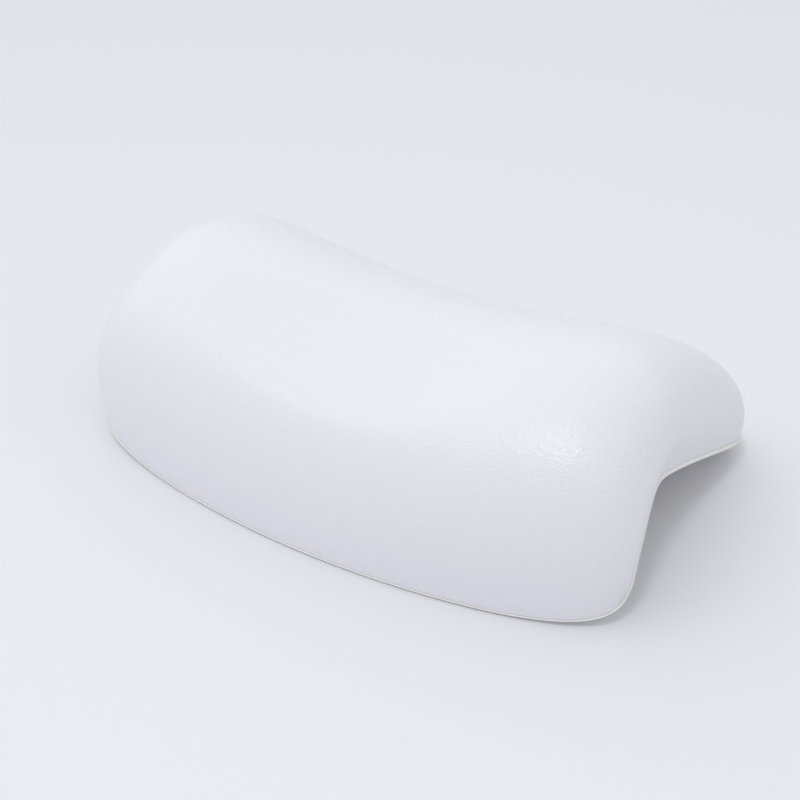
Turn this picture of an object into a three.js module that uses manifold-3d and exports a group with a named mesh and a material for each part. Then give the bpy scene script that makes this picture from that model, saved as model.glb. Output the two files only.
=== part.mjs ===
// A moulded bath pillow. Its section is an L: a leg that hangs inside the tub and a flange that lies on the
// tub's rim, held there by suction cups. It is modelled as it lies on a table, like a tent, on the lower edge
// of the leg and the rear edge of the flange. X runs along the pillow, Y to the rear and Z up, in
// millimetres.

import * as THREE from 'three';
import { mergeVertices } from 'three/addons/utils/BufferGeometryUtils.js';
import Module from 'manifold-3d';

const wasm = await Module();
wasm.setup();

// The L-shaped underside
const RIM_LENGTH = 300; // mean length of the rim, end to end
const END_WAIST = 12.7; // how far the ends are drawn in at the notch
const LEG_REACH = 65.9; // notch to front rim, measured along Y
const FLANGE_REACH = 130.7; // notch to rear rim, measured along Y
const NOTCH_HEIGHT = 49.6; // notch above the table
const NOTCH_ROUNDING = 4.2; // half width of the rounded part of the notch
const FRONT_BOW = 26.4; // how far the front rim lies back at the ends
const NOTCH_BOW = 9.1; // how far the notch lies back at the ends

// The crowned top
const CROWN = 44.6; // top above the notch, before the dish
const CROWN_FRONT = 70.3; // notch to the front of the top, along Y
const CROWN_REAR = 98.2; // notch to the rear of the top, along Y
const CROWN_FRONT_BOW = 19.1; // how far the front of the top lies back at the ends
const CROWN_REAR_BOW = 13.5; // how far the rear of the top lies back at the ends
const CROWN_TILT = 5; // how much the top leans down to the rear, over half its depth
const CROWN_FALL = 36.4; // how much the top curves down, over half its depth
const WING_RISE = 13.6; // how much higher the top stands at the ends
const WING_TILT = 0.2; // how much more the wings rise at the rear
const DISH_DEPTH = 6.3;
const DISH_HALF_LENGTH = 84;
const DISH_HALF_WIDTH = 31.5;
const DISH_FORWARD = 35; // centre of the dish in front of the middle of the top
const DISH_EDGE = 0.2; // how soft the edge of the dish is, as a share of its depth

// How the top rolls over to the rim
const END_ROLL = 6.77; // exponent: the higher, the shorter the roll at the ends
const SIDE_ROLL = 7.27; // the same at the front and rear
const ROLL_FULLNESS = 2.56; // root: the higher, the fuller the roll
const END_BULGE = 3.7; // how far the ends swell past the rim

// Skins, foam and plate
const COVER_WALL = 3;
const SHEET_WALL = 2.3;
const LIP = 0.3; // how far the underside sheet shows past the cover
const FLOOR_FLAT = 0.5; // depth of the flats that the pillow stands on
const PLATE_WALL = 2;
const PLATE_LENGTH = 210;
const PLATE_LEG = 62; // notch to the plate's front edge, down the leg
const PLATE_FLANGE = 98; // notch to the plate's rear edge, down the flange

// Suction cups and their sockets
const CUP_SPACING = (PLATE_LENGTH * 2) / 3; // between the two cups of a row
const LEG_CUP = 39; // notch to the cups of the leg, down the leg
const FLANGE_CUP = 66; // notch to the cups of the flange, down the flange
const CUP_RADIUS = 19;
const CUP_DEPTH = 8.4; // from the sheet to the lip
const CUP_LIP = 2.2; // width of the flat lip
const CUP_WALL = 1.8;
const LIP_WALL = 1.1; // thickness of the bell at its lip
const BOSS_RADIUS = 8; // flat back of the cup, round its neck
const BELL_WAIST = 0.74; // where the bell bends, as a share of its radius
const TAB_LENGTH = 6.5;
const TAB_WIDTH = 8;
const TAB_WALL = 1.4;
const TAB_LIFT = 0.3; // from the plane of the lip to the tab
const NECK_RADIUS = 4.4;
const NECK_LENGTH = 4;
const HEAD_RADIUS = 6.6;
const HEAD_LENGTH = 4.6;
const SOCKET_WALL = 2;
const SOCKET_FLANGE = 15; // radius of the flange that bears on the plate
const SOCKET_FLANGE_WALL = 1.6;

// Clearances
const FIT = 0.35; // between pieces that lie against each other
const TURN_FIT = 0.35; // round the cup's neck and head, which turn

// Fineness of the faceted surfaces
const FORM_LINES = 8; // grid lines of the soft form, from its middle to each rim
const LINE_CROWDING = 0.8; // exponent: the lower, the closer the lines lie at the rim
const CORNER_PULL = 6; // exponent: the higher, the nearer to the rim its rounded corners bend the lines
const LEAST_STEP = 0.02; // least distance between a line and an edge, as a share of the half size
const NORMAL_STEP = 1e-3; // half the span over which a normal is taken
const CORNER_PASSES = 12; // steps of the search for the rounded rim
const ROLL_END = 1e-9; // share of the roll that counts as none
const SAME_POINT = 1e-4; // distance within which corners of triangles are joined
const ROUND_SIDES = 22;
const POCKET_SIDES = 12; // of the foam's pockets, which lie round the sockets

const HALF_LENGTH = RIM_LENGTH / 2;
const HALF_CROWN = (CROWN_FRONT + CROWN_REAR) / 2;
const ROUNDING = NOTCH_ROUNDING / LEG_REACH;
const LEG_LENGTH = Math.hypot(LEG_REACH, NOTCH_HEIGHT);
const FLANGE_LENGTH = Math.hypot(FLANGE_REACH, NOTCH_HEIGHT);
const AXIS = new THREE.Vector3(0, 1, 0);

// Materials
const skinWhite = new THREE.MeshStandardMaterial({ color: 0xeaeaf1, roughness: 0.45, metalness: 0 });
const sheetWhite = new THREE.MeshStandardMaterial({ color: 0xe6e6ec, roughness: 0.55, metalness: 0 });
const foamCream = new THREE.MeshStandardMaterial({ color: 0xe9e2cc, roughness: 0.95, metalness: 0 });
const plateGrey = new THREE.MeshStandardMaterial({ color: 0xc9ccd0, roughness: 0.6, metalness: 0 });
const socketGrey = new THREE.MeshStandardMaterial({ color: 0xd8dadd, roughness: 0.5, metalness: 0 });
const cupClear = new THREE.MeshStandardMaterial({ color: 0xdfe6ea, roughness: 0.25, metalness: 0 });

// Form of the pillow

// Share of the way down from the notch to a rim: t is 0 in the notch and -1 or 1 at the rims.
function fall(t) {
  return (Math.hypot(t, ROUNDING) - ROUNDING) / (Math.hypot(1, ROUNDING) - ROUNDING);
}

// The t at which the underside lies at a height above the rims.
function lineAtHeight(height) {
  const share = 1 - height / NOTCH_HEIGHT;
  const slant = ROUNDING + share * (Math.hypot(1, ROUNDING) - ROUNDING);
  return Math.sqrt(slant * slant - ROUNDING * ROUNDING);
}

// A point of the underside: xi runs from -1 to 1 along the pillow, t from -1 at the front to 1 at the rear.
function basePoint(xi, t) {
  const bow = xi * xi;
  const notch = NOTCH_BOW * bow;
  const front = FRONT_BOW * bow - LEG_REACH;
  const rear = FLANGE_REACH;
  const down = fall(t);
  const x = xi * halfWidth(t);
  const y = notch + ((down - t) / 2) * (front - notch) + ((down + t) / 2) * (rear - notch);
  return new THREE.Vector3(x, y, NOTCH_HEIGHT * (1 - down));
}

// Unit normal of the underside, pointing into the pillow.
function baseNormal(xi, t) {
  const along = basePoint(xi + NORMAL_STEP, t).sub(basePoint(xi - NORMAL_STEP, t));
  const across = basePoint(xi, t + NORMAL_STEP).sub(basePoint(xi, t - NORMAL_STEP));
  return along.cross(across).normalize();
}

// A point of the top, without its roll to the rim and drawn in by inset all round.
function crownPoint(xi, t, inset) {
  const bow = xi * xi;
  const front = CROWN_FRONT_BOW * bow - CROWN_FRONT + inset;
  const rear = CROWN_REAR + CROWN_REAR_BOW * bow - inset;
  const dishX = (xi * HALF_LENGTH) / DISH_HALF_LENGTH;
  const dishY = (t * HALF_CROWN + DISH_FORWARD) / DISH_HALF_WIDTH;
  const level = 1 - dishX * dishX - dishY * dishY;
  const dish = (DISH_DEPTH * (level + Math.hypot(level, DISH_EDGE))) / 2;
  const wing = (WING_RISE + WING_TILT * t) * bow;
  const height = NOTCH_HEIGHT + CROWN - CROWN_TILT * t - CROWN_FALL * t * t + wing - dish;
  return new THREE.Vector3(0, (front + rear) / 2 + ((rear - front) / 2) * t, height - inset);
}

// Rounds the corners of the square from -1 to 1, so that the rim has no sharp corner. Lines well inside the
// rim stay straight.
function roundCorners(a, b) {
  const reach = Math.max(Math.abs(a), Math.abs(b));
  if (reach === 0) {
    return [0, 0];
  }
  const towardsEnd = Math.abs(a) / reach;
  const towardsSide = Math.abs(b) / reach;
  let shrink = 1;
  for (let pass = 0; pass < CORNER_PASSES; pass += 1) {
    const end = (shrink * towardsEnd) ** END_ROLL;
    const side = (shrink * towardsSide) ** SIDE_ROLL;
    shrink -= ((end + side - 1) * shrink) / (END_ROLL * end + SIDE_ROLL * side);
  }
  const pull = 1 + (shrink - 1) * reach ** CORNER_PULL;
  return [a * pull, b * pull];
}

// Half the width of the rim at t.
function halfWidth(t) {
  return HALF_LENGTH + END_WAIST * (t * t - 0.5);
}

// A point of one layer of the pillow. The layer is drawn in by inset, lies rise above the underside, and is
// crowned or, as a sheet, not. What would reach below the flats that the pillow stands on is cut off there.
function layerPoint(a, b, { inset = 0, rise = 0, crowned = false }) {
  const [xi, t] = roundCorners(a, b);
  const reach = t < 0 ? LEG_REACH : FLANGE_REACH;
  const innerXi = xi * (1 - inset / HALF_LENGTH);
  const innerT = t * (1 - inset / reach);
  const base = basePoint(innerXi, innerT).addScaledVector(baseNormal(innerXi, innerT), rise);
  base.z = Math.max(base.z, FLOOR_FLAT);
  if (!crowned) {
    return base;
  }
  const inside = Math.max(0, 1 - Math.abs(xi) ** END_ROLL - Math.abs(t) ** SIDE_ROLL);
  const roll = inside < ROLL_END ? 0 : inside ** (1 / ROLL_FULLNESS);
  const top = crownPoint(innerXi, t, inset);
  // The ends swell most half way up, where the product of the two shares is a quarter.
  const swell = END_BULGE * Math.sign(xi) * xi ** 4 * 4 * roll * (1 - roll);
  return new THREE.Vector3(
    base.x + swell,
    THREE.MathUtils.lerp(base.y, top.y, roll),
    THREE.MathUtils.lerp(base.z, top.z, roll),
  );
}

// Grid lines from -1 to 1, crowded towards both rims.
function rimLines(count) {
  const step = Math.PI / 2 / count;
  const half = Array.from({ length: count }, (_, i) => Math.sin((i + 1) * step) ** LINE_CROWDING);
  return [...half.map((v) => -v).reverse(), 0, ...half];
}

// The same, with more lines in the rounded notch and one where each flat begins.
function sideLines(count) {
  const more = [ROUNDING, 2 * ROUNDING, lineAtHeight(FLOOR_FLAT)];
  return [...rimLines(count), ...more, ...more.map((v) => -v)].sort((p, q) => p - q);
}

// The lines that lie well between two edges, and the edges.
function linesBetween(lines, low, high) {
  return [low, ...lines.filter((v) => v > low + LEAST_STEP && v < high - LEAST_STEP), high];
}

function layerGrid(layer) {
  return sideLines(FORM_LINES).map((b) => rimLines(FORM_LINES).map((a) => layerPoint(a, b, layer)));
}

// Mesh helpers

// The points round the edge of a grid, in one turn.
function edgeOf(grid) {
  const last = grid.length - 1;
  const lastColumn = grid[0].length - 1;
  return [
    ...grid[0].slice(0, lastColumn),
    ...grid.slice(0, last).map((row) => row[lastColumn]),
    ...grid[last].slice(1).reverse(),
    ...grid.slice(1).map((row) => row[0]).reverse(),
  ];
}

// Triangles of a strip of quads between two rows of points.
function stripTriangles(lower, upper, closed) {
  const count = closed ? lower.length : lower.length - 1;
  return Array.from({ length: count }, (_, i) => {
    const next = (i + 1) % lower.length;
    return [lower[i], lower[next], upper[next], lower[i], upper[next], upper[i]];
  }).flat();
}

function gridTriangles(grid) {
  return grid.slice(1).flatMap((row, i) => stripTriangles(grid[i], row, false));
}

// A closed geometry with shared corners and its faces pointing out, from any closed set of triangles.
function closedGeometry(geometry) {
  const bare = new THREE.BufferGeometry();
  bare.setAttribute('position', geometry.getAttribute('position'));
  bare.setIndex(geometry.getIndex());
  const merged = mergeVertices(bare, SAME_POINT);
  const index = merged.getIndex().array;
  const at = (i) => new THREE.Vector3().fromBufferAttribute(merged.getAttribute('position'), i);
  const faces = [];
  let volume = 0;
  for (let i = 0; i < index.length; i += 3) {
    const [p, q, r] = index.slice(i, i + 3);
    if (p !== q && q !== r && r !== p) {
      faces.push([p, q, r]);
      volume += at(p).dot(at(q).cross(at(r)));
    }
  }
  merged.setIndex(faces.flatMap(([p, q, r]) => (volume < 0 ? [p, r, q] : [p, q, r])));
  return merged;
}

// A solid between an upper and a lower grid, whose edges are joined by way of the rings between them.
function closeGrids(upper, lower, rings = []) {
  const loops = [edgeOf(lower), ...rings, edgeOf(upper)];
  const sides = loops.slice(1).flatMap((loop, i) => stripTriangles(loops[i], loop, true));
  const under = gridTriangles(lower);
  for (let i = 0; i < under.length; i += 3) {
    [under[i + 1], under[i + 2]] = [under[i + 2], under[i + 1]];
  }
  const points = [...gridTriangles(upper), ...under, ...sides];
  return closedGeometry(new THREE.BufferGeometry().setFromPoints(points));
}

function toSolid(geometry, matrix = new THREE.Matrix4()) {
  const closed = closedGeometry(geometry.clone().applyMatrix4(matrix));
  return new wasm.Manifold(new wasm.Mesh({
    numProp: 3,
    vertProperties: new Float32Array(closed.getAttribute('position').array),
    triVerts: new Uint32Array(closed.getIndex().array),
  }));
}

function toGeometry(solid) {
  const mesh = solid.getMesh();
  const geometry = new THREE.BufferGeometry();
  geometry.setAttribute('position', new THREE.BufferAttribute(new Float32Array(mesh.vertProperties), 3));
  geometry.setIndex(new THREE.BufferAttribute(new Uint32Array(mesh.triVerts), 1));
  return geometry;
}

// A turned solid from (radius, height) pairs, its axis along local Y.
function turned(profile, sides = ROUND_SIDES) {
  const points = profile.map(([r, y]) => new THREE.Vector2(r, y));
  return closedGeometry(new THREE.LatheGeometry(points, sides));
}

function namedMesh(name, geometry, material) {
  const mesh = new THREE.Mesh(geometry, material);
  mesh.name = name;
  return mesh;
}

// Stations of the suction cups

// A group at a point of the underside, with local +Y into the pillow.
function station(x, t) {
  const xi = x / halfWidth(t);
  const group = new THREE.Group();
  group.position.copy(basePoint(xi, t));
  group.quaternion.setFromUnitVectors(AXIS, baseNormal(xi, t));
  group.updateMatrix();
  return group;
}

const stations = [
  station(-CUP_SPACING / 2, -LEG_CUP / LEG_LENGTH),
  station(CUP_SPACING / 2, -LEG_CUP / LEG_LENGTH),
  station(-CUP_SPACING / 2, FLANGE_CUP / FLANGE_LENGTH),
  station(CUP_SPACING / 2, FLANGE_CUP / FLANGE_LENGTH),
];

// Heights above the outer face of the sheet, along a station's axis
const SHEET_TOP = SHEET_WALL + FIT; // where the cover, the foam and the plate begin
const PLATE_TOP = SHEET_TOP + PLATE_WALL;
const HEAD_FLOOR = NECK_LENGTH;
const HEAD_TOP = HEAD_FLOOR + HEAD_LENGTH;
const BARREL_RADIUS = HEAD_RADIUS + TURN_FIT + SOCKET_WALL;
const SOCKET_TOP = HEAD_TOP + TURN_FIT + SOCKET_WALL;
const FLANGE_FLOOR = PLATE_TOP + FIT;

// Outside of a socket, grown by a clearance
function socketEnvelope(grow) {
  const barrel = BARREL_RADIUS + grow;
  const flange = SOCKET_FLANGE + grow;
  const flangeTop = FLANGE_FLOOR + SOCKET_FLANGE_WALL + grow;
  return [
    [0, -grow],
    [barrel, -grow],
    [barrel, FLANGE_FLOOR - grow],
    [flange, FLANGE_FLOOR - grow],
    [flange, flangeTop],
    [barrel, flangeTop],
    [barrel, SOCKET_TOP + grow],
    [0, SOCKET_TOP + grow],
  ];
}

// A blind socket: a mouth for the cup's neck, a chamber for its head and a flange that bears on the plate
function socketGeometry() {
  const mouth = NECK_RADIUS + TURN_FIT;
  const chamber = HEAD_RADIUS + TURN_FIT;
  const chamberFloor = HEAD_FLOOR - TURN_FIT;
  const chamberTop = HEAD_TOP + TURN_FIT;
  const inside = [
    [0, chamberTop],
    [chamber, chamberTop],
    [chamber, chamberFloor],
    [mouth, chamberFloor],
    [mouth, 0],
  ];
  const outside = socketEnvelope(0).slice(1);
  return turned([...inside, ...outside]);
}

// A suction cup: mushroom head, neck, bell with a flat lip, and a tab to pull it off by
function cupGeometry() {
  const back = -FIT;
  const lipY = -CUP_DEPTH;
  const innerLip = CUP_RADIUS - CUP_LIP;
  const roof = back - CUP_WALL;
  const waist = CUP_RADIUS * BELL_WAIST;
  const waistY = THREE.MathUtils.lerp(back, lipY, BELL_WAIST * BELL_WAIST);
  const bell = turned([
    [0, HEAD_TOP],
    [NECK_RADIUS, HEAD_TOP],
    [HEAD_RADIUS, (HEAD_TOP + HEAD_FLOOR) / 2],
    [HEAD_RADIUS, HEAD_FLOOR],
    [NECK_RADIUS, HEAD_FLOOR],
    [NECK_RADIUS, back],
    [BOSS_RADIUS, back],
    [waist, waistY],
    [CUP_RADIUS, lipY + LIP_WALL],
    [CUP_RADIUS, lipY],
    [innerLip, lipY],
    [waist, waistY - CUP_WALL],
    [NECK_RADIUS, roof],
    [0, roof],
  ]);
  const tab = new THREE.BoxGeometry(TAB_LENGTH + CUP_LIP, TAB_WALL, TAB_WIDTH);
  tab.translate(CUP_RADIUS + (TAB_LENGTH - CUP_LIP) / 2, lipY + TAB_LIFT + TAB_WALL / 2, 0);
  return toGeometry(toSolid(bell).add(toSolid(tab)));
}

// Main pieces

function coverGeometry() {
  const outer = layerGrid({ rise: SHEET_TOP, crowned: true });
  const inner = layerGrid({ inset: COVER_WALL, rise: SHEET_TOP, crowned: true });
  return closeGrids(outer, inner);
}

// Cuts a shape out of a solid at every station.
function cutAtStations(solid, shape) {
  return stations.reduce((rest, place) => rest.subtract(toSolid(shape, place.matrix)), solid);
}

// Cuts a round hole right through the sheet or the plate at every station.
function cutHoles(solid, radius) {
  return cutAtStations(solid, new THREE.CylinderGeometry(radius, radius, 2 * SOCKET_TOP, ROUND_SIDES));
}

function sheetGeometry() {
  const upper = layerGrid({ rise: SHEET_WALL });
  const lower = layerGrid({});
  const lip = edgeOf(layerGrid({ inset: -LIP, rise: SHEET_WALL / 2 }));
  return toGeometry(cutHoles(toSolid(closeGrids(upper, lower, [lip])), BARREL_RADIUS + FIT));
}

// The plate's grid: the lines of the sheet below it, and its own edges, grown by a clearance.
function plateGrid(rise, grow) {
  const half = PLATE_LENGTH / 2 + grow;
  const leg = (PLATE_LEG + grow) / LEG_LENGTH;
  const flange = (PLATE_FLANGE + grow) / FLANGE_LENGTH;
  const columns = linesBetween(rimLines(FORM_LINES), -half / HALF_LENGTH, half / HALF_LENGTH);
  const rows = linesBetween(sideLines(FORM_LINES), -leg, flange);
  return rows.map((t) => columns.map((column) => {
    const xi = (column * HALF_LENGTH) / halfWidth(t);
    return basePoint(xi, t).addScaledVector(baseNormal(xi, t), rise);
  }));
}

function plateGeometry() {
  const plate = toSolid(closeGrids(plateGrid(PLATE_TOP, 0), plateGrid(SHEET_TOP, 0)));
  return toGeometry(cutHoles(plate, BARREL_RADIUS + FIT));
}

function foamGeometry() {
  const layer = { inset: COVER_WALL + FIT, rise: SHEET_TOP };
  const foam = toSolid(closeGrids(layerGrid({ ...layer, crowned: true }), layerGrid(layer)));
  const pocket = toSolid(closeGrids(plateGrid(PLATE_TOP + FIT, FIT), plateGrid(0, FIT)));
  const flatsOut = 1 / Math.cos(Math.PI / POCKET_SIDES);
  const socketPocket = socketEnvelope(FIT).map(([r, y]) => [r * flatsOut, y]);
  return toGeometry(cutAtStations(foam.subtract(pocket), turned(socketPocket, POCKET_SIDES)));
}

// Assembly

const pillow = new THREE.Group();
pillow.add(
  namedMesh('cover_skin', coverGeometry(), skinWhite),
  namedMesh('underside_skin', sheetGeometry(), sheetWhite),
  namedMesh('foam_core', foamGeometry(), foamCream),
  namedMesh('stiffener_plate', plateGeometry(), plateGrey),
);

stations.forEach((place, i) => {
  place.add(
    namedMesh(`cup_socket_${i + 1}`, socketGeometry(), socketGrey),
    namedMesh(`suction_cup_${i + 1}`, cupGeometry(), cupClear),
  );
  pillow.add(place);
});

// The origin lies under the middle of the pillow, on the table.
pillow.position.z = -FLOOR_FLAT;
const bounds = new THREE.Box3().setFromObject(pillow, true);
pillow.position.y = -(bounds.min.y + bounds.max.y) / 2;
pillow.updateMatrixWorld(true);

export default pillow;
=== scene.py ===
"""A white moulded bath pillow on a pale table.

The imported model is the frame. The grained skin, the underside sheet, the foam and the suction cups are built
here on the sizes of the solids that they stand for, with finer surfaces. The stiffener plate and the cup
sockets keep their solids and get a finish. Sizes of the pillow are in millimetres in the frame of its form:
X along the pillow, Y to the rear of the notch, Z up from the rims. What Blender holds is in metres, in the
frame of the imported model.
"""

from __future__ import annotations

import logging
import math
from collections.abc import Mapping, Sequence
from dataclasses import dataclass
from enum import Enum

import bmesh
import bpy
from mathutils import Matrix, Vector

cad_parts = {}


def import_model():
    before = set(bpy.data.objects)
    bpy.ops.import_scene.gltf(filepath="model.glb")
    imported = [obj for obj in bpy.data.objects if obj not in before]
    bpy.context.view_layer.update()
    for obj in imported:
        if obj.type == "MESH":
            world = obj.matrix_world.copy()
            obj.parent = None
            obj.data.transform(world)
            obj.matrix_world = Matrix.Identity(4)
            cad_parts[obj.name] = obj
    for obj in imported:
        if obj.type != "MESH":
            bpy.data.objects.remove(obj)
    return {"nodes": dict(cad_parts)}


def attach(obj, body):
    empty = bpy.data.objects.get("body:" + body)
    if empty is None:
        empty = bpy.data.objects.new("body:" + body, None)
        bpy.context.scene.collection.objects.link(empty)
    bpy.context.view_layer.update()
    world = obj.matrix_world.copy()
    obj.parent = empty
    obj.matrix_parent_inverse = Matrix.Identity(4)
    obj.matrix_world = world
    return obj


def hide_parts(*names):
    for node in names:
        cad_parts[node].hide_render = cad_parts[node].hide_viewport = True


LOG = logging.getLogger("bath_pillow")

MM = 0.001
CORNER_CUT = 0.3  # how far the middle of a small rounding lies in from its corner, as a share of its radius

Colour = tuple[float, float, float]
Grid = list[list[Vector]]
Profile = list[tuple[float, float]]


class Body(Enum):
    """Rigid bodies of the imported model."""

    PILLOW = "pillow"
    LEG_CUP_LEFT = "leg_cup_left"
    LEG_CUP_RIGHT = "leg_cup_right"
    FLANGE_CUP_LEFT = "flange_cup_left"
    FLANGE_CUP_RIGHT = "flange_cup_right"


class Slot(Enum):
    """Material slots of the pieces that are built here."""

    SKIN = "skin"
    SHEET = "sheet"
    FOAM = "foam"
    CUP = "cup"


# Shader nodes


@dataclass(frozen=True)
class Signal:
    """An output socket of a node, with arithmetic that adds Math nodes."""

    nodes: Nodes
    socket: bpy.types.NodeSocket

    def _math(self, operation: str, first: Signal | float, second: Signal | float) -> Signal:
        """Adds a Math node.

        Args:
            operation: Name of the node's operation.
            first: First operand.
            second: Second operand.

        Returns:
            The node's result.
        """
        return self.nodes.add("ShaderNodeMath", {"operation": operation}, {0: first, 1: second})["Value"]

    def __add__(self, other: Signal | float) -> Signal:
        """Sum of this and another value."""
        return self._math("ADD", self, other)

    def __radd__(self, other: float) -> Signal:
        """Sum of a number and this value."""
        return self._math("ADD", other, self)

    def __sub__(self, other: Signal | float) -> Signal:
        """This value less another."""
        return self._math("SUBTRACT", self, other)

    def __rsub__(self, other: float) -> Signal:
        """A number less this value."""
        return self._math("SUBTRACT", other, self)

    def __mul__(self, other: Signal | float) -> Signal:
        """Product of this and another value."""
        return self._math("MULTIPLY", self, other)


@dataclass(frozen=True)
class Outputs:
    """The output sockets of one node, by name."""

    nodes: Nodes
    node: bpy.types.Node

    def __getitem__(self, name: str | int) -> Signal:
        """The output of that name or number."""
        return Signal(self.nodes, self.node.outputs[name])


Input = Signal | float | Sequence[float]


class Nodes:
    """Adds nodes to one tree."""

    def __init__(self, tree: bpy.types.NodeTree) -> None:
        """Starts with an empty tree.

        Args:
            tree: Node tree of a material or of the world.
        """
        self.tree = tree
        tree.nodes.clear()

    def add(
        self,
        kind: str,
        settings: Mapping[str, object] | None = None,
        inputs: Mapping[str | int, Input] | None = None,
    ) -> Outputs:
        """Adds a node.

        Args:
            kind: The node's type.
            settings: Properties of the node, set first.
            inputs: A value or a link for each socket that isn't left as it is.

        Returns:
            The node's outputs.
        """
        node = self.tree.nodes.new(kind)
        for name, value in (settings or {}).items():
            setattr(node, name, value)
        for name, value in (inputs or {}).items():
            if isinstance(value, Signal):
                self.tree.links.new(value.socket, node.inputs[name])
            else:
                node.inputs[name].default_value = value
        return Outputs(self, node)

    def mix_colour(self, share: Signal, first: Colour, second: Colour) -> Signal:
        """Mixes two colours.

        Args:
            share: 0 for the first colour, 1 for the second.
            first: First colour.
            second: Second colour.

        Returns:
            The mixed colour.
        """
        settings = {"data_type": "RGBA"}
        inputs = {0: share, 6: (*first, 1.0), 7: (*second, 1.0)}
        return self.add("ShaderNodeMix", settings, inputs)[2]

    def step(self, value: Signal, low: float, high: float) -> Signal:
        """Smooth step of a value.

        Args:
            value: The value.
            low: Where the step is 0.
            high: Where the step is 1.

        Returns:
            The step, from 0 to 1.
        """
        settings = {"interpolation_type": "SMOOTHSTEP"}
        inputs = {"Value": value, "From Min": low, "From Max": high}
        return self.add("ShaderNodeMapRange", settings, inputs)["Result"]

    def noise(self, place: Signal, size: float, detail: float) -> Signal:
        """Noise about 0.5.

        Args:
            place: Where it is read.
            size: Size of its lumps in metres.
            detail: Number of finer layers.

        Returns:
            The noise.
        """
        inputs = {"Vector": place, "Scale": 1.0 / size, "Detail": detail}
        return self.add("ShaderNodeTexNoise", None, inputs)["Fac"]

    def pores(self, place: Signal, size: float) -> Signal:
        """Distance to the nearest wall of a field of pores.

        Args:
            place: Where it is read.
            size: Size of a pore in metres.

        Returns:
            The distance, as a share of a pore's size.
        """
        settings = {"feature": "DISTANCE_TO_EDGE"}
        inputs = {"Vector": place, "Scale": 1.0 / size}
        return self.add("ShaderNodeTexVoronoi", settings, inputs)["Distance"]

    def warped(self, size: float, shift: float) -> Signal:
        """A place on the object, in metres, pushed about so that a pattern on it isn't regular.

        Args:
            size: Size of the warp's lumps in metres.
            shift: How far it pushes, in metres.

        Returns:
            The place.
        """
        place = self.add("ShaderNodeTexCoord")["Object"]
        lumps = self.add("ShaderNodeTexNoise", None, {"Vector": place, "Scale": 1.0 / size})["Color"]
        middle = (0.5, 0.5, 0.5)
        centred = self.add("ShaderNodeVectorMath", {"operation": "SUBTRACT"}, {0: lumps, 1: middle})
        push = self.add("ShaderNodeVectorMath", {"operation": "SCALE"}, {0: centred[0], "Scale": shift})
        return self.add("ShaderNodeVectorMath", {"operation": "ADD"}, {0: place, 1: push[0]})[0]

    def bump(self, height: Signal, depth: float) -> Signal:
        """A bumped normal.

        Args:
            height: Height of the surface, from 0 to 1.
            depth: What a height of 1 is, in metres.

        Returns:
            The normal.
        """
        return self.add("ShaderNodeBump", None, {"Height": height, "Distance": depth})["Normal"]

    def surface(self, inputs: Mapping[str | int, Input]) -> None:
        """Ends a material's tree with a Principled shader.

        Args:
            inputs: Values and links of the shader's sockets.
        """
        shader = self.add("ShaderNodeBsdfPrincipled", None, inputs)
        self.add("ShaderNodeOutputMaterial", None, {"Surface": shader["BSDF"]})


def new_material(name: str) -> tuple[bpy.types.Material, Nodes]:
    """Makes an empty node material.

    Args:
        name: Its name.

    Returns:
        The material and its node maker.
    """
    material = bpy.data.materials.new(name)
    material.use_nodes = True
    return material, Nodes(material.node_tree)


# Finishes


@dataclass(frozen=True)
class GrainedSkin:
    """White moulded skin with a fine wrinkled grain and a satin sheen."""

    colour: Colour = (0.852, 0.852, 0.914)
    groove_colour: Colour = (0.849, 0.849, 0.911)
    roughness: float = 0.27
    groove_roughness: float = 0.33
    wrinkle: float = 0.0013
    wrinkle_detail: float = 1.0
    warp: float = 3.0
    depth: float = 0.0003
    lump: float = 0.011
    lump_detail: float = 2.0
    lump_share: float = 0.3
    crest_low: float = 0.1
    crest_high: float = 0.9

    def material(self) -> bpy.types.Material:
        """Makes the material.

        Returns:
            The material.
        """
        material, nodes = new_material("grained_skin")
        place = nodes.warped(self.wrinkle * self.warp, self.wrinkle)
        wrinkles = nodes.noise(place, self.wrinkle, self.wrinkle_detail)
        lumps = nodes.noise(place, self.lump, self.lump_detail) * self.lump_share
        crest = nodes.step(wrinkles * (1.0 - self.lump_share) + lumps, self.crest_low, self.crest_high)
        nodes.surface(
            {
                "Base Color": nodes.mix_colour(crest, self.groove_colour, self.colour),
                "Roughness": self.groove_roughness - crest * (self.groove_roughness - self.roughness),
                "Normal": nodes.bump(wrinkles + lumps, self.depth),
            }
        )
        return material


@dataclass(frozen=True)
class SmoothSheet:
    """Pale moulded sheet, matte, with the fine tooth of its mould."""

    colour: Colour = (0.93, 0.92, 0.91)
    cloud_colour: Colour = (0.91, 0.90, 0.89)
    roughness: float = 0.55
    roughness_spread: float = 0.12
    specular: float = 0.4
    tooth: float = 0.0006
    tooth_detail: float = 2.0
    warp: float = 4.0
    depth: float = 0.00002
    cloud: float = 0.03
    cloud_detail: float = 3.0
    cloud_low: float = 0.3
    cloud_high: float = 0.7

    def material(self) -> bpy.types.Material:
        """Makes the material.

        Returns:
            The material.
        """
        material, nodes = new_material("smooth_sheet")
        place = nodes.warped(self.tooth * self.warp, self.tooth)
        tooth = nodes.noise(place, self.tooth, self.tooth_detail)
        cloud = nodes.noise(place, self.cloud, self.cloud_detail)
        clear = nodes.step(cloud, self.cloud_low, self.cloud_high)
        nodes.surface(
            {
                "Base Color": nodes.mix_colour(clear, self.cloud_colour, self.colour),
                "Roughness": self.roughness + (tooth - 0.5) * self.roughness_spread,
                "Specular IOR Level": self.specular,
                "Normal": nodes.bump(tooth, self.depth),
            }
        )
        return material


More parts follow.
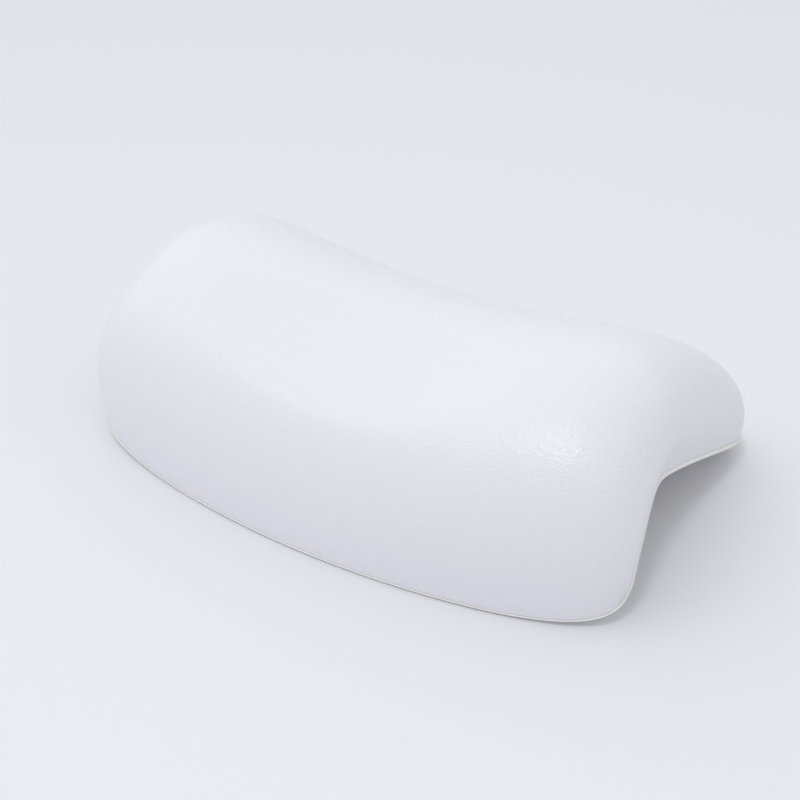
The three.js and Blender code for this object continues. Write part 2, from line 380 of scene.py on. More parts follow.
@dataclass(frozen=True)
class SoftVinyl:
    """Milky soft vinyl of the suction cups, smooth and a little cloudy."""

    colour: Colour = (0.70, 0.755, 0.79)
    cloud_colour: Colour = (0.77, 0.81, 0.835)
    roughness: float = 0.22
    cloud_roughness: float = 0.1
    cloud: float = 0.012
    cloud_detail: float = 3.0
    cloud_low: float = 0.3
    cloud_high: float = 0.7
    flow: float = 0.003
    flow_detail: float = 1.0
    depth: float = 0.00002
    glow: float = 0.15
    glow_reach: tuple[float, float, float] = (0.003, 0.003, 0.0035)

    def material(self) -> bpy.types.Material:
        """Makes the material.

        Returns:
            The material.
        """
        material, nodes = new_material("soft_vinyl")
        place = nodes.warped(self.cloud, self.flow)
        haze = nodes.noise(place, self.cloud, self.cloud_detail)
        cloud = nodes.step(haze, self.cloud_low, self.cloud_high)
        flow = nodes.noise(place, self.flow, self.flow_detail)
        nodes.surface(
            {
                "Base Color": nodes.mix_colour(cloud, self.colour, self.cloud_colour),
                "Roughness": self.roughness + cloud * self.cloud_roughness,
                "Subsurface Weight": self.glow,
                "Subsurface Radius": self.glow_reach,
                "Normal": nodes.bump(flow, self.depth),
            }
        )
        return material


@dataclass(frozen=True)
class OpenFoam:
    """Cream soft foam with open pores, whose middles are painted darker as the shade inside them."""

    colour: Colour = (0.81, 0.76, 0.60)
    # painted shade: a darker colour for the middles of the pores, standing in for the shade inside them
    painted_pore_shade: Colour = (0.55, 0.49, 0.36)
    roughness: float = 0.95
    pore: float = 0.0012
    warp: float = 3.0
    wall_share: float = 0.3
    depth: float = 0.0003

    def material(self) -> bpy.types.Material:
        """Makes the material.

        Returns:
            The material.
        """
        material, nodes = new_material("open_foam")
        place = nodes.warped(self.pore * self.warp, self.pore)
        hollow = nodes.step(nodes.pores(place, self.pore), 0.0, self.wall_share)
        nodes.surface(
            {
                # the middles of the pores get the painted shade colour; the same mask also sinks them in the
                # bump below
                "Base Color": nodes.mix_colour(hollow, self.colour, self.painted_pore_shade),
                "Roughness": self.roughness,
                "Normal": nodes.bump(1.0 - hollow, self.depth),
            }
        )
        return material


@dataclass(frozen=True)
class MouldedPlastic:
    """Plain moulded plastic of the hidden stiff pieces."""

    name: str
    colour: Colour
    roughness: float = 0.5
    roughness_spread: float = 0.15
    shade: float = 0.93
    tooth: float = 0.0008
    tooth_detail: float = 3.0
    tooth_low: float = 0.35
    tooth_high: float = 0.65
    warp: float = 4.0
    depth: float = 0.00002

    def material(self) -> bpy.types.Material:
        """Makes the material.

        Returns:
            The material.
        """
        material, nodes = new_material(self.name)
        place = nodes.warped(self.tooth * self.warp, self.tooth)
        tooth = nodes.noise(place, self.tooth, self.tooth_detail)
        high = nodes.step(tooth, self.tooth_low, self.tooth_high)
        shade = tuple(self.shade * part for part in self.colour)
        nodes.surface(
            {
                "Base Color": nodes.mix_colour(high, shade, self.colour),
                "Roughness": self.roughness + (tooth - 0.5) * self.roughness_spread,
                "Normal": nodes.bump(tooth, self.depth),
            }
        )
        return material


@dataclass(frozen=True)
class TableTop:
    """Pale matte table, which can be looked through from below."""

    colour: Colour = (0.838, 0.843, 0.885)
    roughness: float = 0.75
    specular: float = 0.15

    def material(self) -> bpy.types.Material:
        """Makes the material.

        Returns:
            The material.
        """
        material, nodes = new_material("table_top")
        inputs = {
            "Base Color": (*self.colour, 1.0),
            "Roughness": self.roughness,
            "Specular IOR Level": self.specular,
        }
        board = nodes.add("ShaderNodeBsdfPrincipled", None, inputs)["BSDF"]
        clear = nodes.add("ShaderNodeBsdfTransparent")["BSDF"]
        below = nodes.add("ShaderNodeNewGeometry")["Backfacing"]
        shader = nodes.add("ShaderNodeMixShader", None, {0: below, 1: board, 2: clear})["Shader"]
        nodes.add("ShaderNodeOutputMaterial", None, {"Surface": shader})
        return material


# Meshes


class ClosedMesh:
    """Points and faces of one mesh, gathered loop by loop."""

    fold_angle: float = math.radians(38.0)

    def __init__(self) -> None:
        """Starts with no points."""
        self.points: list[Vector] = []
        self.faces: list[tuple[int, ...]] = []

    def add_points(self, points: Sequence[Vector]) -> list[int]:
        """Adds points.

        Args:
            points: The points.

        Returns:
            Their numbers.
        """
        first = len(self.points)
        self.points.extend(points)
        return list(range(first, len(self.points)))

    def add_grid(self, grid: Grid) -> list[int]:
        """Adds a grid of points and its faces.

        Args:
            grid: Rows of points.

        Returns:
            The numbers round the grid's edge, in one turn.
        """
        rows = [self.add_points(row) for row in grid]
        for lower, upper in zip(rows, rows[1:]):
            self.bridge(lower, upper, closed=False)
        right = [row[-1] for row in rows[1:-1]]
        left = [row[0] for row in rows[1:-1]]
        return [*rows[0], *right, *reversed(rows[-1]), *reversed(left)]

    def bridge(self, lower: Sequence[int], upper: Sequence[int], closed: bool = True) -> None:
        """Joins two rows of points by quads.

        Args:
            lower: Numbers of the first row.
            upper: Numbers of the second row, as many.
            closed: Whether the rows are loops.
        """
        count = len(lower)
        for i in range(count if closed else count - 1):
            following = (i + 1) % count
            self.faces.append((lower[i], lower[following], upper[following], upper[i]))

    def add_tube(self, loops: Sequence[Sequence[Vector]]) -> None:
        """Adds loops of points, joined one to the next and closed by a face at each end.

        Args:
            loops: Loops of equal length.
        """
        numbers = [self.add_points(loop) for loop in loops]
        for lower, upper in zip(numbers, numbers[1:]):
            self.bridge(lower, upper)
        self.faces.append(tuple(numbers[0]))
        self.faces.append(tuple(numbers[-1]))

    def add_turned(self, profile: Profile, sides: int) -> None:
        """Adds a solid turned about local Y, whose profile begins and ends on the axis.

        Args:
            profile: Pairs of radius and height.
            sides: Number of sides.
        """
        angles = [2.0 * math.pi * i / sides for i in range(sides)]
        rings = [
            self.add_points([Vector((r * math.cos(a), y, r * math.sin(a))) for a in angles])
            for r, y in profile[1:-1]
        ]
        for lower, upper in zip(rings, rings[1:]):
            self.bridge(lower, upper)
        for ring, (_, height) in ((rings[0], profile[0]), (rings[-1], profile[-1])):
            (middle,) = self.add_points([Vector((0.0, height, 0.0))])
            self.faces.extend((middle, ring[i], ring[(i + 1) % sides]) for i in range(sides))

    def build(self, name: str, place: Matrix) -> bpy.types.Object:
        """Makes the object, smooth but for its folds.

        Args:
            name: The object's name.
            place: From the mesh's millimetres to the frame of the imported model.

        Returns:
            The object.
        """
        mesh = bpy.data.meshes.new(name)
        mesh.from_pydata([place @ point for point in self.points], [], self.faces)
        work = bmesh.new()
        work.from_mesh(mesh)
        bmesh.ops.recalc_face_normals(work, faces=work.faces)
        work.to_mesh(mesh)
        work.free()
        piece = bpy.data.objects.new(name, mesh)
        bpy.context.scene.collection.objects.link(piece)
        smooth_but_folds(mesh, self.fold_angle)
        return piece


def smooth_but_folds(mesh: bpy.types.Mesh, angle: float) -> None:
    """Shades a mesh smooth, with its sharper edges kept.

    Args:
        mesh: The mesh.
        angle: The angle from which an edge stays sharp.
    """
    mesh.shade_smooth()
    mesh.set_sharp_from_angle(angle=angle)


def carve(piece: bpy.types.Object, cutters: Sequence[bpy.types.Object]) -> None:
    """Cuts other closed objects out of a piece and removes them.

    Args:
        piece: The piece, whose mesh is replaced.
        cutters: The objects to cut with.
    """
    for cutter in cutters:
        cut = piece.modifiers.new(cutter.name, "BOOLEAN")
        cut.operation = "DIFFERENCE"
        cut.solver = "EXACT"
        cut.object = cutter
    graph = bpy.context.evaluated_depsgraph_get()
    mesh = bpy.data.meshes.new_from_object(piece.evaluated_get(graph))
    piece.modifiers.clear()
    piece.data = mesh
    smooth_but_folds(mesh, ClosedMesh.fold_angle)
    for cutter in cutters:
        bpy.data.objects.remove(cutter)


# Form of the pillow


@dataclass(frozen=True)
class Layer:
    """A layer: how far it is drawn in, how far it lies above the underside, and whether it is crowned."""

    inset: float = 0.0
    rise: float = 0.0
    crowned: bool = False


@dataclass(frozen=True)
class PillowForm:
    """Sizes and surfaces of the soft form, in millimetres."""

    rim_length: float = 300.0
    end_waist: float = 12.7
    leg_reach: float = 65.9
    flange_reach: float = 130.7
    notch_height: float = 49.6
    notch_rounding: float = 4.2
    front_bow: float = 26.4
    notch_bow: float = 9.1
    crown: float = 44.6
    crown_front: float = 70.3
    crown_rear: float = 98.2
    crown_front_bow: float = 19.1
    crown_rear_bow: float = 13.5
    crown_tilt: float = 5.0
    crown_fall: float = 36.4
    wing_rise: float = 13.6
    wing_tilt: float = 0.2
    dish_depth: float = 6.3
    dish_half_length: float = 84.0
    dish_half_width: float = 31.5
    dish_forward: float = 35.0
    dish_edge: float = 0.11
    end_roll: float = 6.77
    side_roll: float = 7.27
    roll_fullness: float = 2.56
    end_bulge: float = 3.7
    bulge_power: int = 4
    floor_flat: float = 0.5
    notch_ahead: float = 31.9108
    corner_pull: float = 6.0
    corner_passes: int = 12
    line_crowding: float = 0.8
    notch_lines: tuple[float, ...] = (0.35, 0.7, 1.0, 1.5, 2.0, 3.0)
    normal_step: float = 1e-3

    @property
    def half_length(self) -> float:
        """Half the mean length of the rim."""
        return self.rim_length / 2

    @property
    def rounding(self) -> float:
        """Half width of the rounded part of the notch, as a share of the leg's reach."""
        return self.notch_rounding / self.leg_reach

    @property
    def leg_length(self) -> float:
        """From the notch down the leg to the rim."""
        return math.hypot(self.leg_reach, self.notch_height)

    @property
    def flange_length(self) -> float:
        """From the notch down the flange to the rim."""
        return math.hypot(self.flange_reach, self.notch_height)

    @property
    def place(self) -> Matrix:
        """From the form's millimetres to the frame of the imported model."""
        return Matrix.Scale(MM, 4) @ Matrix.Translation((0.0, -self.notch_ahead, -self.floor_flat))

    def fall(self, t: float) -> float:
        """Share of the way down from the notch to a rim, for t from -1 at the front to 1 at the rear."""
        full = math.hypot(1.0, self.rounding) - self.rounding
        return (math.hypot(t, self.rounding) - self.rounding) / full

    def half_width(self, t: float) -> float:
        """Half the width of the rim at t."""
        return self.half_length + self.end_waist * (t * t - 0.5)

    def base_point(self, xi: float, t: float) -> Vector:
        """A point of the underside.

        Args:
            xi: Place along the pillow, from -1 to 1.
            t: Place across it, from -1 at the front to 1 at the rear.

        Returns:
            The point.
        """
        bow = xi * xi
        notch = self.notch_bow * bow
        front = self.front_bow * bow - self.leg_reach
        down = self.fall(t)
        y = notch + (down - t) / 2 * (front - notch) + (down + t) / 2 * (self.flange_reach - notch)
        return Vector((xi * self.half_width(t), y, self.notch_height * (1 - down)))

    def base_normal(self, xi: float, t: float) -> Vector:
        """Unit normal of the underside, pointing into the pillow.

        Args:
            xi: Place along the pillow.
            t: Place across it.

        Returns:
            The normal.
        """
        step = self.normal_step
        along = self.base_point(xi + step, t) - self.base_point(xi - step, t)
        across = self.base_point(xi, t + step) - self.base_point(xi, t - step)
        return along.cross(across).normalized()

    def crown_height(self, xi: float, t: float, inset: float) -> tuple[float, float]:
        """Where the top lies, without its roll to the rim.

        Args:
            xi: Place along the pillow.
            t: Place across it.
            inset: How far the layer is drawn in.

        Returns:
            The top's Y and Z.
        """
        bow = xi * xi
        front = self.crown_front_bow * bow - self.crown_front + inset
        rear = self.crown_rear + self.crown_rear_bow * bow - inset
        half_crown = (self.crown_front + self.crown_rear) / 2
        dish_x = xi * self.half_length / self.dish_half_length
        dish_y = (t * half_crown + self.dish_forward) / self.dish_half_width
        level = 1 - dish_x * dish_x - dish_y * dish_y
        dish = self.dish_depth * (level + math.hypot(level, self.dish_edge)) / 2
        wing = (self.wing_rise + self.wing_tilt * t) * bow
        top = self.notch_height + self.crown - self.crown_tilt * t - self.crown_fall * t * t + wing - dish
        return (front + rear) / 2 + (rear - front) / 2 * t, top - inset

    def round_corners(self, a: float, b: float) -> tuple[float, float]:
        """Rounds the corners of the square from -1 to 1. Lines well inside its rim stay straight.

        Args:
            a: Place along the pillow, in the square.
            b: Place across it, in the square.

        Returns:
            The place on the rounded form.
        """
        reach = max(abs(a), abs(b))
        if reach == 0.0:
            return 0.0, 0.0
        shrink = 1.0
        for _ in range(self.corner_passes):
            end = (shrink * abs(a) / reach) ** self.end_roll
            side = (shrink * abs(b) / reach) ** self.side_roll
            shrink -= (end + side - 1.0) * shrink / (self.end_roll * end + self.side_roll * side)
        pull = 1.0 + (shrink - 1.0) * reach**self.corner_pull
        return a * pull, b * pull

    def layer_point(self, a: float, b: float, layer: Layer) -> Vector:
        """A point of one layer.

        Args:
            a: Place along the pillow, in the square from -1 to 1.
            b: Place across it, in the same square.
            layer: The layer.

        Returns:
            The point.
        """
        xi, t = self.round_corners(a, b)
        reach = self.leg_reach if t < 0 else self.flange_reach
        inner_xi = xi * (1 - layer.inset / self.half_length)
        inner_t = t * (1 - layer.inset / reach)
        base = self.base_point(inner_xi, inner_t) + self.base_normal(inner_xi, inner_t) * layer.rise
        base.z = max(base.z, self.floor_flat)
        if not layer.crowned:
            return base
        inside = max(0.0, 1 - abs(xi) ** self.end_roll - abs(t) ** self.side_roll)
        roll = inside ** (1 / self.roll_fullness)
        top_y, top_z = self.crown_height(inner_xi, t, layer.inset)
        swell = self.end_bulge * math.copysign(xi**self.bulge_power, xi) * 4 * roll * (1 - roll)
        return Vector((base.x + swell, base.y + (top_y - base.y) * roll, base.z + (top_z - base.z) * roll))

    def rim_lines(self, count: int) -> list[float]:
        """Grid lines from -1 to 1, crowded towards both rims.

        Args:
            count: Lines from the middle to a rim.

        Returns:
            The lines.
        """
        step = math.pi / 2 / count
        half = [math.sin((i + 1) * step) ** self.line_crowding for i in range(count)]
        return [*(-line for line in reversed(half)), 0.0, *half]

    def side_lines(self, count: int) -> list[float]:
        """The same, with more lines in the rounded notch.

        Args:
            count: Lines from the middle to a rim.

        Returns:
            The lines.
        """
        more = [share * self.rounding for share in self.notch_lines]
        return sorted([*self.rim_lines(count), *more, *(-line for line in more)])

    def grid(self, layer: Layer, lines: int) -> Grid:
        """A layer as a grid of points.

        Args:
            layer: The layer.
            lines: Grid lines from the middle to a rim.

        Returns:
            Rows of points from front to rear.
        """
        columns = self.rim_lines(lines)
        return [[self.layer_point(a, b, layer) for a in columns] for b in self.side_lines(lines)]

    def rim_places(self, lines: int) -> list[tuple[float, float]]:
        """The places round the edge of a grid, in one turn.

        Args:
            lines: Grid lines from the middle to a rim.

        Returns:
            The places, in the square from -1 to 1.
        """
        columns = self.rim_lines(lines)
        rows = self.side_lines(lines)
        return [
            *((a, -1.0) for a in columns),
            *((1.0, b) for b in rows[1:-1]),
            *((a, 1.0) for a in reversed(columns)),
            *((-1.0, b) for b in reversed(rows[1:-1])),
        ]

    def rim(self, layer: Layer, lines: int) -> list[Vector]:
        """The points round the edge of a layer's grid, in one turn."""
        return [self.layer_point(a, b, layer) for a, b in self.rim_places(lines)]


@dataclass(frozen=True)
class Station:
    """Where a suction cup sits on the underside."""

    number: int
    body: Body
    x: float
    t: float

    def matrix(self, form: PillowForm) -> Matrix:
        """From the cup's millimetres, with Y into the pillow, to the form's.

        Args:
            form: The pillow's form.

        Returns:
            The matrix.
        """
        xi = self.x / form.half_width(self.t)
        turn = Vector((0.0, 1.0, 0.0)).rotation_difference(form.base_normal(xi, self.t))
        return Matrix.Translation(form.base_point(xi, self.t)) @ turn.to_matrix().to_4x4()


@dataclass(frozen=True)
class CupPlaces:
    """Where the cups sit: down the leg and the flange from the notch, and to both sides of the middle."""

    down_leg: float = 39.0
    down_flange: float = 66.0
    half_spacing: float = 70.0

    def stations(self, form: PillowForm) -> tuple[Station, ...]:
        """The stations of all cups.

        Args:
            form: The pillow's form.

        Returns:
            The stations in the order of their numbers.
        """
        leg = -self.down_leg / form.leg_length
        flange = self.down_flange / form.flange_length
        return (
            Station(1, Body.LEG_CUP_LEFT, -self.half_spacing, leg),
            Station(2, Body.LEG_CUP_RIGHT, self.half_spacing, leg),
            Station(3, Body.FLANGE_CUP_LEFT, -self.half_spacing, flange),
            Station(4, Body.FLANGE_CUP_RIGHT, self.half_spacing, flange),
        )


@dataclass(frozen=True)
class Stack:
    """Thicknesses and clearances of the layers, measured into the pillow from the outside of the sheet."""

    cover_wall: float = 3.0
    sheet_wall: float = 2.3
    plate_wall: float = 2.0
    fit: float = 0.35
    barrel_radius: float = 8.95
    socket_top: float = 10.95
    flange_radius: float = 15.0
    flange_wall: float = 1.6

    @property
    def sheet_top(self) -> float:
        """Where the cover, the foam and the plate begin."""
        return self.sheet_wall + self.fit

    @property
    def plate_top(self) -> float:
        """Top of the stiffener plate."""
        return self.sheet_top + self.plate_wall


# Pieces


@dataclass(frozen=True)
class CoverSkin:
    """The grained upper skin, a shell from rim to rim."""

    form: PillowForm
    stack: Stack
    seam: float = 0.05
    edge_round: float = 0.3
    edge_steps: int = 4
    lines: int = 44
    fill: float = 0.9

    def build(self, finish: bpy.types.Material) -> bpy.types.Object:
        """Builds and dresses the skin.

        Args:
            finish: Its material.

        Returns:
            The piece.
        """
        seam_top = self.stack.sheet_wall + self.seam
        outer = Layer(rise=seam_top + self.edge_round, crowned=True)
        inner = Layer(inset=self.stack.cover_wall, rise=seam_top, crowned=True)
        shell = ClosedMesh()
        loop = shell.add_grid(self.form.grid(outer, self.lines))
        for i in range(1, self.edge_steps + 1):
            angle = math.pi / 2 * i / self.edge_steps
            inset = self.edge_round * (1 - math.cos(angle))
            edge = Layer(inset=inset, rise=seam_top + self.edge_round * (1 - math.sin(angle)))
            following = shell.add_points(self.form.rim(edge, self.lines))
            shell.bridge(loop, following)
            loop = following
        shell.bridge(loop, shell.add_grid(self.form.grid(inner, self.lines)))
        piece = shell.build("cover_skin_grained", self.form.place)
        piece.data.materials.append(finish)
        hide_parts("cover_skin")
        return piece


@dataclass(frozen=True)
class UndersideSheet:
    """The L-shaped sheet that closes the form from below.

    Its lip shows round the rim. Along the front and the rear its edge is rolled under to a heel, on which
    the pillow stands, and at the ends it is plain.
    """

    form: PillowForm
    stack: Stack
    stations: Sequence[Station]
    heel_inset: float = 9.0
    heel_starts: float = 0.7
    heel_full: float = 0.88
    side_edge: Sequence[Layer] = (
        Layer(6.0), Layer(4.0), Layer(2.5), Layer(1.0), Layer(0.0),
        Layer(-0.42, 0.34), Layer(-0.6, 1.15), Layer(-0.42, 1.96),
    )
    heel_edge: Sequence[Layer] = (
        Layer(7.0, -1.2), Layer(5.0, -2.6), Layer(3.6, -3.0), Layer(2.2, -1.5), Layer(0.9, 0.6),
        Layer(-0.21, 2.14), Layer(-0.69, 2.84), Layer(-0.4, 3.0),
    )
    lines: int = 44
    hole_sides: int = 48

    def build(self, finish: bpy.types.Material) -> bpy.types.Object:
        """Builds and dresses the sheet.

        Args:
            finish: Its material.

        Returns:
            The piece.
        """
        sheet = ClosedMesh()
        loop = sheet.add_grid(self.form.grid(Layer(self.heel_inset), self.lines))
        places = self.form.rim_places(self.lines)
        for side, heel in zip(self.side_edge, self.heel_edge):
            following = sheet.add_points([self._edge_point(a, b, side, heel) for a, b in places])
            sheet.bridge(loop, following)
            loop = following
        upper = sheet.add_grid(self.form.grid(Layer(rise=self.stack.sheet_wall), self.lines))
        sheet.bridge(loop, upper)
        piece = sheet.build("underside_sheet", self.form.place)
        carve(piece, [self._punch(station) for station in self.stations])
        piece.data.materials.append(finish)
        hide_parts("underside_skin")
        return piece

    def _edge_point(self, a: float, b: float, side: Layer, heel: Layer) -> Vector:
        """A point of the sheet's edge, between the plain edge and the heel.

        Args:
            a: Place along the pillow, in the square from -1 to 1.
            b: Place across it, in the same square.
            side: Where a plain edge has the point.
            heel: Where a rolled edge has it.

        Returns:
            The point.
        """
        _, t = self.form.round_corners(a, b)
        share = min(1.0, max(0.0, (abs(t) - self.heel_starts) / (self.heel_full - self.heel_starts)))
        inset = side.inset + (heel.inset - side.inset) * share
        rise = side.rise + (heel.rise - side.rise) * share
        return self.form.layer_point(a, b, Layer(inset, rise))

    def _punch(self, station: Station) -> bpy.types.Object:
        """A cylinder that cuts the hole for one socket.

        Args:
            station: Where the socket sits.

        Returns:
            The cylinder.
        """
        radius = self.stack.barrel_radius + self.stack.fit
        reach = 2 * self.stack.sheet_wall
        profile = [(0.0, -reach), (radius, -reach), (radius, 2 * reach), (0.0, 2 * reach)]
        punch = ClosedMesh()
        punch.add_turned(profile, self.hole_sides)
        return punch.build(f"punch_{station.number}", self.form.place @ station.matrix(self.form))


@dataclass(frozen=True)
class FoamCore:
    """The soft foam between the skin, the sheet and the plate."""

    form: PillowForm
    stack: Stack
    stations: Sequence[Station]
    plate_half_length: float = 105.0
    plate_leg: float = 62.0
    plate_flange: float = 98.0
    lines: int = 22
    pocket_columns: int = 16
    pocket_sides: int = 32
    fill: float = 1.0

    def build(self, finish: bpy.types.Material) -> bpy.types.Object:
        """Builds and dresses the foam.

        Args:
            finish: Its material.

        Returns:
            The piece.
        """
        inset = self.stack.cover_wall + self.stack.fit
        core = ClosedMesh()
        top = core.add_grid(self.form.grid(Layer(inset, self.stack.sheet_top, crowned=True), self.lines))
        under = core.add_grid(self.form.grid(Layer(inset, self.stack.sheet_top), self.lines))
        core.bridge(under, top)
        piece = core.build("foam_filling", self.form.place)
        carve(piece, [self._plate_pocket(), *(self._socket_pocket(station) for station in self.stations)])
        piece.data.materials.append(finish)
        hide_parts("foam_core")
        return piece

    def _plate_pocket(self) -> bpy.types.Object:
        """The space of the stiffener plate, open to the sheet.

        Returns:
            A closed object of that space.
        """
        form = self.form
        grow = self.stack.fit
        half = self.plate_half_length + grow
        low = -(self.plate_leg + grow) / form.leg_length
        high = (self.plate_flange + grow) / form.flange_length
        rows = [low, *(t for t in form.side_lines(self.lines) if low < t < high), high]
        columns = [half * (2 * i / self.pocket_columns - 1) for i in range(self.pocket_columns + 1)]
        pocket = ClosedMesh()
        edges = []
        for rise in (0.0, self.stack.plate_top + grow):
            grid = [[self._above(x / form.half_width(t), t, rise) for x in columns] for t in rows]
            edges.append(pocket.add_grid(grid))
        pocket.bridge(*edges)
        return pocket.build("plate_pocket", form.place)

    def _above(self, xi: float, t: float, rise: float) -> Vector:
        """The point at a height above the underside."""
        return self.form.base_point(xi, t) + self.form.base_normal(xi, t) * rise

    def _socket_pocket(self, station: Station) -> bpy.types.Object:
        """The space of one socket.

        Args:
            station: Where the socket sits.

        Returns:
            A closed object of that space.
        """
        grow = 2 * self.stack.fit
        barrel = self.stack.barrel_radius + grow
        flange = self.stack.flange_radius + grow
        flange_floor = self.stack.plate_top - grow
        flange_top = self.stack.plate_top + self.stack.flange_wall + 2 * grow
        top = self.stack.socket_top + grow
        profile = [(0.0, -grow), (barrel, -grow), (barrel, flange_floor), (flange, flange_floor)]
        profile += [(flange, flange_top), (barrel, flange_top), (barrel, top), (0.0, top)]
        pocket = ClosedMesh()
        pocket.add_turned(profile, self.pocket_sides)
        return pocket.build(f"socket_pocket_{station.number}", self.form.place @ station.matrix(self.form))


@dataclass(frozen=True)
class SuctionCup:
    """A soft cup: mushroom head, neck, bell with a thin flat lip, and a ribbed tab to pull it off by."""

    form: PillowForm
    station: Station
    fit: float
    radius: float = 19.0
    depth: float = 8.4
    lip: float = 2.2
    lip_wall: float = 1.1
    lip_edge: float = 0.25
    lip_round: float = 0.2
    wall: float = 1.8
    boss_radius: float = 8.0
    boss_round: float = 0.7
    bell_power: float = 1.55
    bowl_power: float = 2.0
    neck_radius: float = 4.4
    neck_length: float = 4.0
    neck_round: float = 0.2
    head_radius: float = 6.6
    head_length: float = 4.6
    head_dome: float = 0.65
    tab_length: float = 6.5
    tab_half_width: float = 4.0
    tab_wall: float = 1.4
    tab_lift: float = 0.3
    tab_round: float = 0.4
    rib_places: tuple[float, ...] = (20.6, 22.2, 23.8)
    rib_half_length: float = 2.4
    rib_half_width: float = 0.4
    rib_height: float = 0.35
    rib_levels: tuple[tuple[float, float], ...] = ((1.0, 0.0), (0.7, 0.7), (0.35, 1.0))
    sides: int = 72
    steps: int = 14

    def _outer(self, r: float) -> float:
        """Height of the bell's outside at a radius."""
        drop = self.depth - self.lip_wall - self.fit
        return -self.fit - drop * (r / self.radius) ** self.bell_power

    def _inner(self, r: float) -> float:
        """Height of the bowl's inside at a radius."""
        roof = self.fit + self.wall
        return -roof - (self.depth - roof) * (r / (self.radius - self.lip)) ** self.bowl_power

    def profile(self) -> Profile:
        """The cup's section, from the top of its head to the middle of its bowl.

        Returns:
            Pairs of radius and height.
        """
        head_floor = self.neck_length
        head_top = head_floor + self.head_length
        dome_height = self.head_length * self.head_dome
        dome = [
            (self.head_radius * math.sin(a), head_top - dome_height * (1 - math.cos(a)))
            for a in (math.pi / 2 * i / self.steps for i in range(1, self.steps + 1))
        ]
        boss = self.boss_radius
        fillet = self.boss_round
        bell_start = boss + fillet
        spread = self.radius - bell_start
        bell = [bell_start + spread * i / self.steps for i in range(self.steps + 1)]
        bowl_edge = self.radius - self.lip
        bowl = [bowl_edge * (1 - i / self.steps) for i in range(self.steps)]
        return [
            (0.0, head_top),
            *dome,
            (self.head_radius, head_floor),
            (self.neck_radius + self.neck_round, head_floor),
            (self.neck_radius, head_floor - self.neck_round),
            (self.neck_radius, -self.fit),
            (boss - fillet, -self.fit),
            (boss - CORNER_CUT * fillet, -self.fit - CORNER_CUT * fillet),
            (boss, -self.fit - fillet),
            (boss, self._outer(boss) + fillet),
            *((r, self._outer(r)) for r in bell),
            (self.radius, -self.depth + self.lip_edge * self.lip_wall),
            (self.radius - self.lip_round, -self.depth),
            *((r, self._inner(r)) for r in bowl),
            (0.0, -self.fit - self.wall),
        ]

    def _tab_outline(self, inset: float, height: float) -> list[Vector]:
        """The tab's outline, drawn in by inset, at a height.

        Args:
            inset: How far it is drawn in.
            height: Its height.

        Returns:
            A loop of points.
        """
        half = self.tab_half_width
        middle = self.radius + self.tab_length - half
        round_radius = half - inset
        start = self.radius - self.lip + inset
        quarter = math.pi / 2
        angles = [quarter * (2 * i / self.steps - 1) for i in range(self.steps + 1)]
        turn = [(round_radius * math.cos(a), round_radius * math.sin(a)) for a in angles]
        arc = [Vector((middle + x, height, z)) for x, z in turn]
        return [Vector((start, height, -round_radius)), *arc, Vector((start, height, round_radius))]

    def _add_tab(self, cup: ClosedMesh) -> None:
        """Adds the tab and its ribs.

        Args:
            cup: The cup's mesh.
        """
        low = -self.depth + self.tab_lift
        high = low + self.tab_wall
        edge = self.tab_round
        cut = CORNER_CUT * edge
        levels = [(edge, low), (0.0, low + edge), (0.0, high - edge), (cut, high - cut), (edge, high)]
        cup.add_tube([self._tab_outline(inset, height) for inset, height in levels])
        levels = [(share, high + lift * self.rib_height) for share, lift in self.rib_levels]
        for place in self.rib_places:
            cup.add_tube([self._rib_outline(place, share, height) for share, height in levels])

    def _rib_outline(self, place: float, share: float, height: float) -> list[Vector]:
        """A rib's outline at a height.

        Args:
            place: Where the rib lies along the tab.
            share: Share of its full width.
            height: Its height.

        Returns:
            A loop of points.
        """
        wide = self.rib_half_width * share
        long = self.rib_half_length - self.rib_half_width * (1 - share)
        corners = ((-wide, -long), (wide, -long), (wide, long), (-wide, long))
        return [Vector((place + x, height, z)) for x, z in corners]

    def build(self, finish: bpy.types.Material) -> bpy.types.Object:
        """Builds and dresses the cup.

        Args:
            finish: Its material.

        Returns:
            The piece.
        """
        cup = ClosedMesh()
        cup.add_turned(self.profile(), self.sides)
        self._add_tab(cup)
        number = self.station.number
        piece = cup.build(f"vinyl_cup_{number}", self.form.place @ self.station.matrix(self.form))
        piece.data.materials.append(finish)
        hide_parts(f"suction_cup_{number}")
        return piece


# Studio


@dataclass(frozen=True)
class Lamp:
    """A soft square lamp that looks at the middle of the pillow."""

    name: str
    azimuth: float
    elevation: float
    distance: float
    width: float
    power: float

    def build(self, aim: Vector) -> None:
        """Builds the lamp.

        Args:
            aim: The point it looks at.
        """
        light = bpy.data.lights.new(self.name, "AREA")
        light.shape = "SQUARE"
        light.size = self.width
        light.energy = self.power
        lamp = bpy.data.objects.new(self.name, light)
        back = direction(self.azimuth, self.elevation)
        lamp.location = aim + back * self.distance
        lamp.rotation_mode = "QUATERNION"
        lamp.rotation_quaternion = (-back).to_track_quat("-Z", "Y")
        bpy.context.scene.collection.objects.link(lamp)


def direction(azimuth: float, elevation: float) -> Vector:
    """Unit vector towards a point of the sky.

    Args:
        azimuth: Degrees from -Y, positive towards +X.
        elevation: Degrees above the horizon.

    Returns:
        The vector.
    """
    turn = math.radians(azimuth)
    rise = math.radians(elevation)
    return Vector((math.sin(turn) * math.cos(rise), -math.cos(turn) * math.cos(rise), math.sin(rise)))


